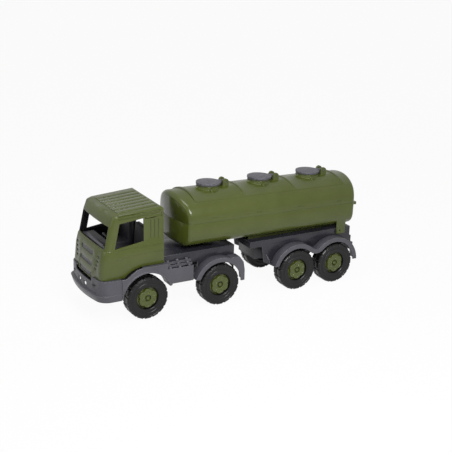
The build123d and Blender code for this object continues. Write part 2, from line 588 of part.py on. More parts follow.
def make_cab():
    """Cab shell with open windows, a ribbed roof, grille bars and louvres."""
    x = FRONT_AXLE_X
    outer, skin = cab_solid(0), cab_solid(CAB_RECESS)
    shell = outer - cab_solid(CAB_WALL)
    shell += cab_apron(0) - cab_apron(CAB_WALL)
    shell -= block(CAB_REAR_X - 5, x + 8, -90, 90, CAB_FRONT_EDGE_Z - 10, CAB_EDGE_Z)
    shell -= rod_y(x, AXLE_Z, CAB_ARCH_RADIUS, -90, 90)
    sill, head = SILL_Z + 2, HEAD_Z - 1
    foot_y, head_y = WINDSCREEN_FOOT, WINDSCREEN_HEAD
    opening = [(-foot_y, sill), (foot_y, sill), (head_y, head), (-head_y, head)]
    shell -= cross_plate(opening, x + 58, x + 100)
    back_x, foot_x, head_x = x + SIDE_WINDOW_REAR, x + SIDE_WINDOW_FOOT, x + SIDE_WINDOW_HEAD
    shell -= side_plate([(foot_x, 144.5), (back_x, 152.5), (back_x, 197), (head_x, 192)], -90, 90)
    shell -= block(CAB_REAR_X - 5, CAB_REAR_X + 8, -BACK_WINDOW_HALF_WIDTH, BACK_WINDOW_HALF_WIDTH,
                   BACK_WINDOW_BOTTOM, BACK_WINDOW_TOP)
    sunk = []
    for z in GRILLE_BARS:
        sunk.append(block(x + 70, x + 110, -GRILLE_HALF_WIDTH, GRILLE_HALF_WIDTH, z, z + GRILLE_BAR_HEIGHT))
    for side in SIDES.values():
        for z, y in LOUVRES:
            y0, y1 = side * y - LOUVRE_HALF_WIDTH, side * y + LOUVRE_HALF_WIDTH
            sunk.append(block(x + 70, x + 110, y0, y1, z, z + LOUVRE_HEIGHT))
        for drop, rear, front in CORNICE_GROOVES:
            place = Pos((rear + front) / 2, side * CAB_HALF_WIDTH, -drop)
            groove = place * Box(front - rear, 12, CORNICE_GROOVE)
            sunk.append(Pos(x, 0, ROOF_FRONT_Z) * Rot(0, CORNICE_RISE, 0) * groove)
        for back in PANEL_GROOVES:
            sunk.append(block(x + back, x + back + PANEL_GROOVE, side * 65, side * 75, 157, 192))
    shell -= between(outer + cab_apron(0) - skin - cab_apron(CAB_RECESS), sunk)
    for i in range(RIB_COUNT):
        y = RIB_PITCH * (i - (RIB_COUNT - 1) / 2)
        rib = block(RIB_REAR, RIB_FRONT, y - RIB_HALF_WIDTH, y + RIB_HALF_WIDTH, 3.5, 4.0 + RIB_HEIGHT)
        shell += roof_frame() * rib
    save("cab_shell", shell)


# ------------------------------------------------------------------ cab inside
SEAT_BACK_GAP = 6.0         # seat base to the cab's rear wall
SEAT_BASE_LENGTH = 62.0
SEAT_BASE_HEIGHT = 8.0
SEAT_HEIGHT = 30.0
SEAT_BACK_HEIGHT = 76.0
SEAT_INNER_Y, SEAT_OUTER_Y = 12.0, 56.0
SEAT_EDGE = DECK_HALF_WIDTH - 1.0
COLUMN_RADIUS = 2.2
COLUMN_LENGTH = 24.0
COLUMN_RAKE = 38.0          # degrees, head towards the driver
COLUMN_HEAD = (57.0, 13.0)  # ahead of the front axle and above the dashboard
WHEEL_RING = (14.0, 1.8)
DASH_TOP = SILL_Z + 1.2
DASH_FRONT, DASH_REAR = 75.5, 53.0    # ahead of the front axle
DASH_HALF_WIDTH = 54.0


def make_seats():
    """Two seats on one base."""
    x0, floor = CAB_REAR_X + CAB_WALL + SEAT_BACK_GAP, CAB_FLOOR_TOP
    top = floor + SEAT_HEIGHT
    base = block(x0, x0 + SEAT_BASE_LENGTH, -SEAT_EDGE, SEAT_EDGE, floor, floor + SEAT_BASE_HEIGHT)
    for side in SIDES.values():
        y0, y1 = sorted((side * SEAT_INNER_Y, side * SEAT_OUTER_Y))
        base += block(x0 + 16, x0 + SEAT_BASE_LENGTH - 2, y0, y1, floor + SEAT_BASE_HEIGHT - 1, top)
        back_top = floor + SEAT_BACK_HEIGHT
        back = [(x0 + 16, top - 5), (x0 + 28, top - 5), (x0 + 24, back_top), (x0 + 15, back_top)]
        base += side_plate(back, y0, y1)
    save("seats", base)


def column_place():
    """The steering column's head; Z points at the driver."""
    seat_middle = (SEAT_INNER_Y + SEAT_OUTER_Y) / 2
    ahead, above = COLUMN_HEAD
    return Pos(FRONT_AXLE_X + ahead, seat_middle, DASH_TOP + above) * Rot(0, -COLUMN_RAKE, 0)


def make_dashboard():
    """Dashboard below the windscreen, on a beam between the cab's side walls."""
    x, top = FRONT_AXLE_X, DASH_TOP
    front, rear = x + DASH_FRONT, x + DASH_REAR
    profile = [(rear - 3, top - 26), (front - 7, top - 30), (front, top - 16), (front, top), (rear, top),
               (rear - 2, top - 6)]
    dash = side_plate(profile, -DASH_HALF_WIDTH, DASH_HALF_WIDTH)
    edge = CAB_HALF_WIDTH - CAB_WALL - SEAT_GAP
    dash += block(x + 53, x + 61, -edge, edge, top - 25, top - 10)
    depth = COLUMN_LENGTH + 1
    dash -= column_place() * Pos(0, 0, -depth / 2) * Cylinder(COLUMN_RADIUS + SEAT_GAP, depth)
    save("dashboard", dash)


def make_steering_wheel():
    """Steering wheel on its column."""
    ring, wire = WHEEL_RING
    wheel = Torus(ring, wire) + Box(2 * ring - 2, 3, 2.2) + Box(3, 2 * ring - 2, 2.2)
    column = Pos(0, 0, -COLUMN_LENGTH / 2) * Cylinder(COLUMN_RADIUS, COLUMN_LENGTH)
    save("steering_wheel", column_place() * (wheel + column))


# ------------------------------------------------------------------ trailer frame
FRAME_RAIL_BOTTOM = 61.0
NECK_DEPTH = 13.0
APRON_FRONT_AHEAD = 74.0    # side plates' front edge ahead of the first trailer axle
BOX_HALF_WIDTH = RAIL_HALF_SPACING + RAIL_WALL
FRAME_TAIL_Z = 77.0
BETWEEN_WHEELS_Z = 71.0
VALLEY_RADIUS = 14.0        # rounded valley between the double mudguard's arches
PAD_X_AHEAD = 57.0          # round rest for the tank, ahead of the first trailer axle
PAD_RADIUS = 16.0
BEAM_STEPS = (
    # distance behind the frame's rear face, and height
    (0.0, 89.0), (4.0, 89.0), (4.0, 73.0), (10.0, 73.0), (10.0, 58.0), (1.5, 58.0), (0.0, 71.0),
)


def make_trailer_frame():
    """Frame with a flat deck, side plates, two rails and the bogie's bearings."""
    top, half, neck = FRAME_TOP, FRAME_HALF_WIDTH, FRAME_TOP - NECK_DEPTH
    front = BOGIE_FRONT_X + APRON_FRONT_AHEAD
    apron = [
        (FRAME_FRONT_X, top), (FRAME_FRONT_X, neck), (front, neck), (front - 5.7, 63), (front - 15.7, 58),
        (front - 28.7, 50), (BOGIE_FRONT_X, 50), (BOGIE_REAR_X, 50), (FRAME_REAR_X, FRAME_TAIL_Z),
        (FRAME_REAR_X, top),
    ]
    frame = block(FRAME_REAR_X, FRAME_FRONT_X, -half, half, top - WALL, top)
    frame += block(FRAME_REAR_X, FRAME_REAR_X + WALL, -half, half, FRAME_TAIL_Z, top)
    frame += block(FRAME_FRONT_X - WALL, FRAME_FRONT_X, -half, half, neck, top)
    frame += block(front - WALL, front, -BOX_HALF_WIDTH, BOX_HALF_WIDTH, FRAME_RAIL_BOTTOM, top - WALL / 2)
    for side in SIDES.values():
        y0, y1 = sorted((side * (half - WALL), side * half))
        plate = side_plate(apron, y0, y1)
        for x in (BOGIE_FRONT_X, BOGIE_REAR_X):
            plate -= rod_y(x, AXLE_Z, TRAILER_ARCH_RADIUS, -90, 90)
        frame += plate - block(BOGIE_REAR_X, BOGIE_FRONT_X, -90, 90, 20, BETWEEN_WHEELS_Z)
        rail = side * RAIL_HALF_SPACING, side * (RAIL_HALF_SPACING + RAIL_WALL)
        frame += block(FRAME_REAR_X, front, *rail, FRAME_RAIL_BOTTOM, top - WALL / 2)
    for x in (BOGIE_FRONT_X, BOGIE_REAR_X):
        frame += axle_saddle(x, top - WALL)
        frame -= axle_hole(x)
    save("trailer_frame", frame)


def valley_place(radius):
    """Centre of the valley between two arches of this radius, and how much of the way to it they reach."""
    touching = radius + VALLEY_RADIUS
    rise = math.sqrt(touching ** 2 - (BOGIE_SPREAD / 2) ** 2)
    return (BOGIE_FRONT_X + BOGIE_REAR_X) / 2, AXLE_Z + rise, VALLEY_RADIUS / touching


def make_trailer_fender(side_name, side):
    """Double mudguard over the two bogie wheels: a skin with an outer fascia."""
    r, inner, outer = TRAILER_ARCH_RADIUS, FRAME_HALF_WIDTH + SEAT_GAP, FENDER_HALF_WIDTH
    centres = (BOGIE_FRONT_X, BOGIE_REAR_X)
    middle_x, valley_z, share = valley_place(r + FASCIA)
    reach, rise = share * BOGIE_SPREAD / 2, share * (valley_z - AXLE_Z)
    guard = rod_y(BOGIE_FRONT_X, AXLE_Z, r + FASCIA, inner, outer)
    guard += rod_y(BOGIE_REAR_X, AXLE_Z, r + FASCIA, inner, outer)
    guard += block(middle_x - reach, middle_x + reach, inner, outer, AXLE_Z, valley_z - rise)
    guard -= rod_y(middle_x, valley_z, VALLEY_RADIUS, inner - 1, outer + 1)
    for x in centres:
        guard -= rod_y(x, AXLE_Z, r + FASCIA - WALL, inner - 1, outer - WALL)
    for x in centres:
        guard -= rod_y(x, AXLE_Z, r, inner - 5, outer + 5)
    below = block(BOGIE_REAR_X, BOGIE_FRONT_X, 0, 100, -20, valley_z - rise * (1 + FASCIA / VALLEY_RADIUS))
    guard -= below - rod_y(middle_x, valley_z, VALLEY_RADIUS + FASCIA, 0, 100)
    guard -= block(BOGIE_FRONT_X, BOGIE_FRONT_X + 80, 0, 100, -20, AXLE_Z + 14.5)
    guard -= block(BOGIE_REAR_X - 80, BOGIE_REAR_X, 0, 100, -20, AXLE_Z + 1.5)
    save(f"trailer_fender_{side_name}", mirrored(guard, side))


def make_rear_beam():
    """Rear cross beam of the trailer with the lamp steps."""
    profile = [(FRAME_REAR_X - back, z) for back, z in BEAM_STEPS]
    save("rear_beam", side_plate(profile, -FRAME_HALF_WIDTH, FRAME_HALF_WIDTH))


# ------------------------------------------------------------------ tank
END_WALL = 5.0              # wall behind the rounded ends
HOOP_XS = (34.0, 143.0, 259.3, 375.6)       # raised hoops, behind the tank's front end
HOOP_LENGTH = 5.0
HOOP_RISE = 1.3
SEAM_SLOTS = (67.4, 165.7, 262.0, 358.7)    # sunk slots above the seam, behind the front end
SEAM_SLOT_SIZE = (13.0, 2.2)
SEAM_SLOT_RISE = 8.0
RUNNER_THICK = 3.0
BRACKET_FRONT, BRACKET_REAR = -11.5, -33.5  # rear brackets, from the second trailer axle
BRACKET_BOTTOM = 97.0
BRACKET_THICK = 2.6
SCREW_X_BACK, SCREW_Z, SCREW_RADIUS = 20.5, 104.0, 1.6


def arc_of(centre_y, centre_z, radius, start, end, side=1):
    """An arc in the YZ plane; angles in radians from straight up towards the side."""
    points = []
    for angle in (start, (start + end) / 2, end):
        points.append((0, side * (centre_y + radius * math.sin(angle)), centre_z + radius * math.cos(angle)))
    return ThreePointArc(*points)


def tank_section(inset):
    """The tank's cross section, inset by a wall: crown, shoulders, upright sides, bilges, flat foot."""
    lean = math.asin(TANK_CROWN_HALF_WIDTH / TANK_CROWN_RADIUS)
    shoulder = (TANK_HALF_WIDTH - TANK_CROWN_HALF_WIDTH) / (1 - math.sin(lean))
    crown_z = TANK_TOP - TANK_CROWN_RADIUS
    shoulder_z = crown_z + (TANK_CROWN_RADIUS - shoulder) * math.cos(lean)
    bilge_y, bilge_z = TANK_HALF_WIDTH - TANK_BILGE_RADIUS, TANK_BOTTOM + TANK_BILGE_RADIUS
    w, foot = TANK_HALF_WIDTH - inset, TANK_BOTTOM + inset
    right, down = math.pi / 2, math.pi
    lines = [
        arc_of(0, crown_z, TANK_CROWN_RADIUS - inset, lean, -lean),
        Line((0, bilge_y, foot), (0, -bilge_y, foot)),
    ]
    for side in SIDES.values():
        lines.append(arc_of(TANK_HALF_WIDTH - shoulder, shoulder_z, shoulder - inset, lean, right, side))
        lines.append(Line((0, side * w, shoulder_z), (0, side * w, bilge_z)))
        lines.append(arc_of(bilge_y, bilge_z, TANK_BILGE_RADIUS - inset, right, down, side))
    return make_face(lines)


def tank_solid(inset, end_inset):
    """The tank's outer form, or its inside when inset by its walls."""
    front, rear = TANK_FRONT_X - end_inset, TANK_REAR_X + end_inset
    body = Pos(rear, 0, 0) * extrude(tank_section(inset), amount=front - rear, dir=(1, 0, 0))
    for x, way in ((front, -1), (rear, 1)):
        bow = rod_z(x + way * TANK_END_RADIUS, 0, TANK_END_RADIUS, 0, 300)
        far = block(x + way * TANK_END_RADIUS, x + way * (TANK_LENGTH + 10), -100, 100, 0, 300)
        body = body & (bow + far)
    return body


def rounded_tank():
    """The tank's outer form with rounded ends."""
    body = tank_solid(0, 0)
    reach = 2.5 * TANK_END_ROUND
    ends = [e for e in body.edges() if abs(e.center().X - TANK_MID_X) > TANK_LENGTH / 2 - reach]
    return fillet(ends, radius=TANK_END_ROUND)


def lifted_skin(body, rise, boxes):
    """A raised field: what of the body, moved up, lies inside the boxes."""
    return between(Pos(0, 0, rise) * body, boxes)


def hatch_bore(x):
    """The open neck of one hatch, through the tank's wall."""
    return rod_z(x, 0, HATCH_NECK_RADIUS - HATCH_NECK_WALL, TANK_TOP - 20, HATCH_NECK_TOP + 1)


def hatch_rim(x, inside):
    """Neck, collar, gussets and hinge ears of one hatch."""
    foot, top = TANK_TOP - 8, HATCH_COLLAR_TOP
    rim = rod_z(x, 0, HATCH_NECK_RADIUS, foot, HATCH_NECK_TOP)
    rim += rod_z(x, 0, HATCH_COLLAR_RADIUS, foot, top)
    half, reach, shoulder = GUSSET_THICK / 2, GUSSET_REACH, HATCH_COLLAR_RADIUS - 1
    front = [(x, foot), (x + reach, foot), (x + reach, TANK_TOP), (x + shoulder, top), (x, top)]
    rim += side_plate(front, -half, half)
    for side in SIDES.values():
        end, low = side * reach, TANK_TOP - 5
        outline = [(0, foot), (end, foot), (end, low), (side * shoulder, top), (0, top)]
        rim += cross_plate(outline, x + GUSSET_AHEAD - half, x + GUSSET_AHEAD + half)
    rim -= inside
    rim -= hatch_bore(x)
    pin_x = x - HATCH_HINGE_BACK
    for side in SIDES.values():
        y0, y1 = sorted((side * HATCH_EAR_INNER, side * HATCH_EAR_OUTER))
        ear = rod_y(pin_x, HATCH_HINGE_Z, HATCH_EAR_RADIUS, y0, y1)
        rear, front = pin_x - HATCH_EAR_RADIUS, pin_x + HATCH_EAR_RADIUS
        ear += block(rear, front, y0, y1, TANK_TOP - 3, HATCH_HINGE_Z)
        bore = HATCH_PIN_RADIUS + HATCH_PIN_GAP
        rim += ear - inside - rod_y(pin_x, HATCH_HINGE_Z, bore, y0 - 1, y1 + 1)
    return rim


def make_tank():
    """Upper and lower tank shells with raised fields, hatch rims, brackets, runners and rear lugs."""
    body, inside = rounded_tank(), tank_solid(SHELL_WALL, END_WALL)
    edge_y, deep = PANEL_HALF_WIDTH, TANK_TOP - 20
    panel_rear = PANEL_FRONT_X - PANEL_LENGTH
    upper_half = block(-400, 400, -100, 100, TANK_SEAM_Z, 300)
    lower_half = block(-400, 400, -100, 100, 0, TANK_SEAM_Z)
    field = lifted_skin(body, PANEL_RISE, [block(panel_rear, PANEL_FRONT_X, -edge_y, edge_y, deep, 300)])
    hoops = []
    for back in HOOP_XS:
        x = TANK_FRONT_X - back
        hoops.append(block(x - HOOP_LENGTH / 2, x + HOOP_LENGTH / 2, -edge_y, edge_y, deep, 300))
    field += lifted_skin(body, PANEL_RISE + HOOP_RISE, hoops)
    upper = (body & upper_half) + field
    long, tall = SEAM_SLOT_SIZE
    slots = []
    for back in SEAM_SLOTS:
        x, z = TANK_FRONT_X - back, TANK_SEAM_Z + SEAM_SLOT_RISE
        slots.append(block(x - long / 2, x + long / 2, -100, 100, z - tall / 2, z + tall / 2))
    upper -= between(body - tank_solid(RECESS, END_WALL), slots)
    upper -= inside
    for x in HATCH_XS:
        upper -= hatch_bore(x)
        upper += hatch_rim(x, inside)

    lower = (body & lower_half) - inside
    for side in SIDES.values():
        inner = FRAME_HALF_WIDTH + SEAT_GAP
        y0, y1 = sorted((side * inner, side * (inner + BRACKET_THICK)))
        x0, x1 = BOGIE_REAR_X + BRACKET_REAR, BOGIE_REAR_X + BRACKET_FRONT
        bracket = block(x0, x1, y0, y1, BRACKET_BOTTOM, TANK_BOTTOM + TANK_BILGE_RADIUS)
        bracket -= rod_y(BOGIE_REAR_X - SCREW_X_BACK, SCREW_Z, SCREW_RADIUS, y0 - 1, y1 + 1)
        lug_y = side * (LUG_Y - LUG_HALF_WIDTH), side * (LUG_Y + LUG_HALF_WIDTH)
        lug = block(TANK_REAR_X - LUG_REACH, TANK_REAR_X + LUG_ROOT, *lug_y, *LUG_HEIGHTS)
        lower += (bracket + lug) - inside
    save("tank_upper", tipped(upper))
    runners = None
    for side in SIDES.values():
        base = TANK_HALF_WIDTH - TANK_BILGE_RADIUS
        y0, y1 = sorted((side * (base - RUNNER_THICK), side * base))
        runner = block(FRAME_REAR_X + 4, FRAME_FRONT_X - 6, y0, y1, FRAME_TOP, TANK_BOTTOM + 12)
        runners = runner if runners is None else runners + runner
    pad_x = BOGIE_FRONT_X + PAD_X_AHEAD
    runners += rod_z(pad_x, 0, PAD_RADIUS, FRAME_TOP, TANK_BOTTOM + 12)
    save("tank_lower", tipped(lower) + (runners - tipped(tank_solid(SHELL_WALL / 2, SHELL_WALL))))


def make_lid(index, x):
    """Hatch lid with a plug, a tab and its hinge pin."""
    bottom = HATCH_NECK_TOP + SEAT_GAP
    top = bottom + HATCH_LID_THICK
    lid = rod_z(x, 0, HATCH_RADIUS, bottom, top)
    plug = HATCH_NECK_RADIUS - HATCH_NECK_WALL - LID_PLUG_GAP
    lid += rod_z(x, 0, plug, bottom - LID_PLUG_DEPTH, bottom + 0.5)
    pin_x, pin_z, eye = x - HATCH_HINGE_BACK, HATCH_HINGE_Z, LID_EYE_RADIUS
    half, start = HATCH_EAR_INNER - LID_SIDE_GAP, x - 0.75 * HATCH_RADIUS
    outline = [(start, bottom + 0.5), (start, top), (pin_x, pin_z + eye), (pin_x, pin_z - eye)]
    lid += side_plate(outline, -half, half) + rod_y(pin_x, pin_z, eye, -half, half)
    lid += rod_y(pin_x, pin_z, HATCH_PIN_RADIUS, -HATCH_EAR_OUTER, HATCH_EAR_OUTER)
    save(f"hatch_lid_{index}", tipped(lid))


def make_kingpin():
    """Coupling pin below the tank's nose."""
    pin = rod_z(KINGPIN_X, 0, KINGPIN_DISC_RADIUS, DECK_TOP + 0.6, TANK_BOTTOM + 8)
    pin += rod_z(KINGPIN_X, 0, KINGPIN_RADIUS, DECK_TOP - 8, DECK_TOP + 1)
    save("kingpin", pin - tipped(tank_solid(0, 0)))


def main():
    os.makedirs("parts", exist_ok=True)
    for name, x in AXLES.items():
        make_axle(name, x)
    make_tractor_frame()
    make_bumper()
    make_cab()
    make_seats()
    make_dashboard()
    make_steering_wheel()
    make_trailer_frame()
    make_rear_beam()
    make_tank()
    make_kingpin()
    for index, x in enumerate(HATCH_XS, 1):
        make_lid(index, x)
    for side_name, side in SIDES.items():
        make_valance(side_name, side)
        make_drive_fender(side_name, side)
        make_trailer_fender(side_name, side)


main()
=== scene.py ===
"""Looks of a moulded toy tanker lorry: rounded mouldings, lugged tyres, finishes with painted shade and
painted edge highlights, light and camera.
"""
import json
import math

import bpy
from mathutils import Matrix, Vector


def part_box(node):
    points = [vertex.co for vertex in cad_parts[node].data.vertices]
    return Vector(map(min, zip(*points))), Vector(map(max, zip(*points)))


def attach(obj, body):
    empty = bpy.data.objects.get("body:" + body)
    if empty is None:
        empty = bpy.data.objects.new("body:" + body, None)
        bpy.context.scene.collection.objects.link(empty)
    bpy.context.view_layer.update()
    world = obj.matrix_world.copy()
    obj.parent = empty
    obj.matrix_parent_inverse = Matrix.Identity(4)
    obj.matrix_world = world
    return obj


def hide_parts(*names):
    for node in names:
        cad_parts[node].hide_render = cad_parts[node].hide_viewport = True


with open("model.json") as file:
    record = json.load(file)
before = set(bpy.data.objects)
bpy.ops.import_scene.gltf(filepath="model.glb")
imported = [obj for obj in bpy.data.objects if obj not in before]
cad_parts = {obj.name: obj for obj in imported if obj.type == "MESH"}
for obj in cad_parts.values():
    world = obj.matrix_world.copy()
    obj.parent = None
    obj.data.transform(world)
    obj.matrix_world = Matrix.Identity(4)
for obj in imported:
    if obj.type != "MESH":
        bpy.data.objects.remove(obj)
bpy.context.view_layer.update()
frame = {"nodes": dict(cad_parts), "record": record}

MM = 0.001
SIDES = (("left", 1), ("right", -1))
SMOOTH_ANGLE = 32           # degrees between faces that still shade as one
WELD = 0.005                # points closer than this are one
FLAT_ANGLE = 0.4            # degrees between faces that count as one plane
SLOT_OF = {part["node"]: part["material_slot"] for part in frame["record"]["subparts"]}
BODY_OF = {node: body for body, nodes in frame["record"]["behaviour"]["bodies"].items() for node in nodes}


# ------------------------------------------------------------------ modelling helpers
def deselect():
    """Leaves nothing selected."""
    if bpy.context.object and bpy.context.object.mode != "OBJECT":
        bpy.ops.object.mode_set(mode="OBJECT")
    bpy.ops.object.select_all(action="DESELECT")


def pick(piece):
    """Makes one object the only one selected, and active."""
    deselect()
    piece.select_set(True)
    bpy.context.view_layer.objects.active = piece


def pick_faces(piece, wanted):
    """In edit mode, selects the faces for which wanted(centre, normal) holds."""
    bpy.ops.mesh.select_all(action="DESELECT")
    bpy.ops.object.mode_set(mode="OBJECT")
    for face in piece.data.polygons:
        face.select = wanted(face.center, face.normal)
    bpy.ops.object.mode_set(mode="EDIT")


def pick_points(piece, wanted):
    """In edit mode, selects the points for which wanted(place) holds."""
    bpy.ops.mesh.select_all(action="DESELECT")
    bpy.ops.object.mode_set(mode="OBJECT")
    for point in piece.data.vertices:
        point.select = wanted(point.co)
    bpy.ops.object.mode_set(mode="EDIT")


def settle(piece):
    """Puts the object's place and turn into its mesh."""
    pick(piece)
    bpy.ops.object.transform_apply(location=True, rotation=True, scale=True)


def round_edges(piece, width, angle=35, segments=2):
    """Rounds the sharp edges and smooths the shading."""
    pick(piece)
    bevel = piece.modifiers.new("rounded edges", "BEVEL")
    bevel.width = width
    bevel.segments = segments
    bevel.limit_method = "ANGLE"
    bevel.angle_limit = math.radians(angle)
    bevel.use_clamp_overlap = False
    bevel.miter_outer = "MITER_ARC"
    bpy.ops.object.modifier_apply(modifier=bevel.name)
    bpy.ops.object.shade_smooth_by_angle(angle=math.radians(SMOOTH_ANGLE))


def moulding_of(node, edge):
    """A copy of a CAD part as it leaves the mould, with rounded edges. It stands for the part."""
    source = frame["nodes"][node]
    piece = bpy.data.objects.new(f"{node}_moulding", source.data.copy())
    bpy.context.scene.collection.objects.link(piece)
    pick(piece)
    bpy.ops.object.mode_set(mode="EDIT")
    bpy.ops.mesh.select_all(action="SELECT")
    bpy.ops.mesh.remove_doubles(threshold=WELD * MM)
    bpy.ops.mesh.dissolve_limited(angle_limit=math.radians(FLAT_ANGLE))
    bpy.ops.object.mode_set(mode="OBJECT")
    round_edges(piece, edge)
    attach(piece, BODY_OF[node])
    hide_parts(node)
    return piece


def copy_to(first, name, shift):
    """A copy of a finished piece with its own mesh, moved by shift."""
    piece = bpy.data.objects.new(name, first.data.copy())
    bpy.context.scene.collection.objects.link(piece)
    piece.location = shift
    settle(piece)
    return piece


def add_piece(piece, body, slot):
    """A piece made here: its body, and the finish of its slot."""
    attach(piece, body)
    finish(piece, slot)


# ------------------------------------------------------------------ finishes, with painted shade and painted edge highlights
# colour of the painted highlight along rounded edges
EDGE_HIGHLIGHT_COLOUR = (0.42, 0.42, 0.42, 1)
EDGE_TURN = (0.99, 0.80)    # cosine of the softened normal's turn, from a plain face to a full edge
CLOUD_RAMP = (0.3, 0.7)
PATCH_SCALE = 55.0          # patches of more and less gloss
PATCH_SPREAD = (-0.05, 0.06)
SINK_SCALE = 18.0           # shallow sink marks of the moulding
SINK_DEPTH = 0.6


def node_of(tree, kind, **inputs):
    """A shader node with its inputs set."""
    made = tree.nodes.new(kind)
    for key, value in inputs.items():
        made.inputs[key.replace("_", " ")].default_value = value
    return made


def painted_edge_highlights(tree, softened, tint, amount):
    """The colour output of tint, lightened towards EDGE_HIGHLIGHT_COLOUR where the softened normal leaves the
    face's own: a painted highlight along rounded edges.
    """
    face = tree.nodes.new("ShaderNodeNewGeometry")
    meet = tree.nodes.new("ShaderNodeVectorMath")
    meet.operation = "DOT_PRODUCT"
    tree.links.new(softened.outputs["Normal"], meet.inputs[0])
    tree.links.new(face.outputs["Normal"], meet.inputs[1])
    share = node_of(tree, "ShaderNodeMapRange")
    share.inputs["From Min"].default_value, share.inputs["From Max"].default_value = EDGE_TURN
    share.inputs["To Min"].default_value, share.inputs["To Max"].default_value = 0.0, amount
    tree.links.new(meet.outputs["Value"], share.inputs["Value"])
    highlighted = tree.nodes.new("ShaderNodeMixRGB")
    highlighted.inputs["Color2"].default_value = EDGE_HIGHLIGHT_COLOUR
    tree.links.new(share.outputs["Result"], highlighted.inputs["Fac"])
    tree.links.new(tint.outputs["Color"], highlighted.inputs["Color1"])
    return highlighted.outputs["Color"]


def plastic(name, dark, light, rough, grain_scale, grain_depth, edge=0.5, specular=0.5,
            cloud_scale=26, edge_highlight=0.0):
    """Moulded plastic: clouded colour, patchy gloss, a fine mould grain, and softened edges with a painted
    highlight along them.
    """
    material = bpy.data.materials.new(name)
    material.use_nodes = True
    tree = material.node_tree
    shader = tree.nodes["Principled BSDF"]
    shader.inputs["Specular IOR Level"].default_value = specular
    place = tree.nodes.new("ShaderNodeTexCoord")

    cloud = node_of(tree, "ShaderNodeTexNoise", Scale=cloud_scale, Detail=3.0, Roughness=0.6)
    tint = tree.nodes.new("ShaderNodeValToRGB")
    for stop, position, colour in zip(tint.color_ramp.elements, CLOUD_RAMP, (dark, light)):
        stop.position, stop.color = position, (*colour, 1)
    tree.links.new(place.outputs["Object"], cloud.inputs["Vector"])
    tree.links.new(cloud.outputs["Fac"], tint.inputs["Fac"])

    patches = node_of(tree, "ShaderNodeTexNoise", Scale=PATCH_SCALE, Detail=4.0, Roughness=0.65)
    gloss = node_of(tree, "ShaderNodeMapRange")
    gloss.inputs["From Min"].default_value, gloss.inputs["From Max"].default_value = 0.3, 0.7
    gloss.inputs["To Min"].default_value = rough + PATCH_SPREAD[0]
    gloss.inputs["To Max"].default_value = rough + PATCH_SPREAD[1]
    tree.links.new(place.outputs["Object"], patches.inputs["Vector"])
    tree.links.new(patches.outputs["Fac"], gloss.inputs["Value"])
    tree.links.new(gloss.outputs["Result"], shader.inputs["Roughness"])

    softened = tree.nodes.new("ShaderNodeBevel")
    softened.samples = 4
    softened.inputs["Radius"].default_value = edge * MM
    grain = node_of(tree, "ShaderNodeTexNoise", Scale=grain_scale, Detail=2.0, Roughness=0.5)
    bump = node_of(tree, "ShaderNodeBump", Strength=0.35, Distance=grain_depth * MM)
    sink = node_of(tree, "ShaderNodeTexNoise", Scale=SINK_SCALE, Detail=1.0, Roughness=0.4)
    wave = node_of(tree, "ShaderNodeBump", Strength=0.25, Distance=SINK_DEPTH * MM)
    tree.links.new(place.outputs["Object"], grain.inputs["Vector"])
    tree.links.new(place.outputs["Object"], sink.inputs["Vector"])
    tree.links.new(softened.outputs["Normal"], wave.inputs["Normal"])
    tree.links.new(sink.outputs["Fac"], wave.inputs["Height"])
    tree.links.new(wave.outputs["Normal"], bump.inputs["Normal"])
    tree.links.new(grain.outputs["Fac"], bump.inputs["Height"])
    tree.links.new(bump.outputs["Normal"], shader.inputs["Normal"])
    # edges lightened by edge_highlight: painted highlight
    colour = painted_edge_highlights(tree, softened, tint, edge_highlight) if edge_highlight else tint.outputs["Color"]
    tree.links.new(colour, shader.inputs["Base Color"])
    return material


def drawn_steel():
    """Drawn wire rod: a metal with fine lengthwise streaks."""
    material = bpy.data.materials.new("steel")
    material.use_nodes = True
    tree = material.node_tree
    shader = tree.nodes["Principled BSDF"]
    shader.inputs["Metallic"].default_value = 1.0
    shader.inputs["Base Color"].default_value = (0.55, 0.55, 0.57, 1)
    place = tree.nodes.new("ShaderNodeTexCoord")
    stretch = tree.nodes.new("ShaderNodeMapping")
    stretch.inputs["Scale"].default_value = (1, 0.04, 1)
    streaks = node_of(tree, "ShaderNodeTexNoise", Scale=900.0, Detail=3.0)
    gloss = node_of(tree, "ShaderNodeMapRange")
    gloss.inputs["To Min"].default_value, gloss.inputs["To Max"].default_value = 0.25, 0.5
    tree.links.new(place.outputs["Object"], stretch.inputs["Vector"])
    tree.links.new(stretch.outputs["Vector"], streaks.inputs["Vector"])
    tree.links.new(streaks.outputs["Fac"], gloss.inputs["Value"])
    tree.links.new(gloss.outputs["Result"], shader.inputs["Roughness"])
    return material


FINISHES = {
    "green_plastic": plastic("green_plastic", (0.066, 0.083, 0.012), (0.077, 0.096, 0.017), 0.21, 900, 0.02,
                             edge=0.7, edge_highlight=0.12),
    "grey_plastic": plastic("grey_plastic", (0.066, 0.066, 0.079), (0.083, 0.082, 0.098), 0.32, 1100, 0.03,
                            edge=0.9, edge_highlight=0.55),
    "lid_plastic": plastic("lid_plastic", (0.026, 0.026, 0.034), (0.165, 0.163, 0.185), 0.45, 420, 0.25,
                           cloud_scale=330, edge_highlight=0.4),
    "tyre_black": plastic("tyre_black", (0.004, 0.004, 0.0045), (0.009, 0.009, 0.0095), 0.28, 700, 0.04,
                          edge=0.8, specular=0.34, edge_highlight=0.12),
    "dark_plastic": plastic("dark_plastic", (0.012, 0.012, 0.016), (0.018, 0.018, 0.024), 0.5, 800, 0.05),
    "steel": drawn_steel(),
}
# grey plastic darkened as painted shade, for the frames under the tank and the floors of the cab's sunk
# fields
SHADE_GREY = plastic("frame_grey_plastic", (0.017, 0.017, 0.023), (0.027, 0.027, 0.036), 0.28, 1100, 0.03,
                     edge=0.9, edge_highlight=0.5)
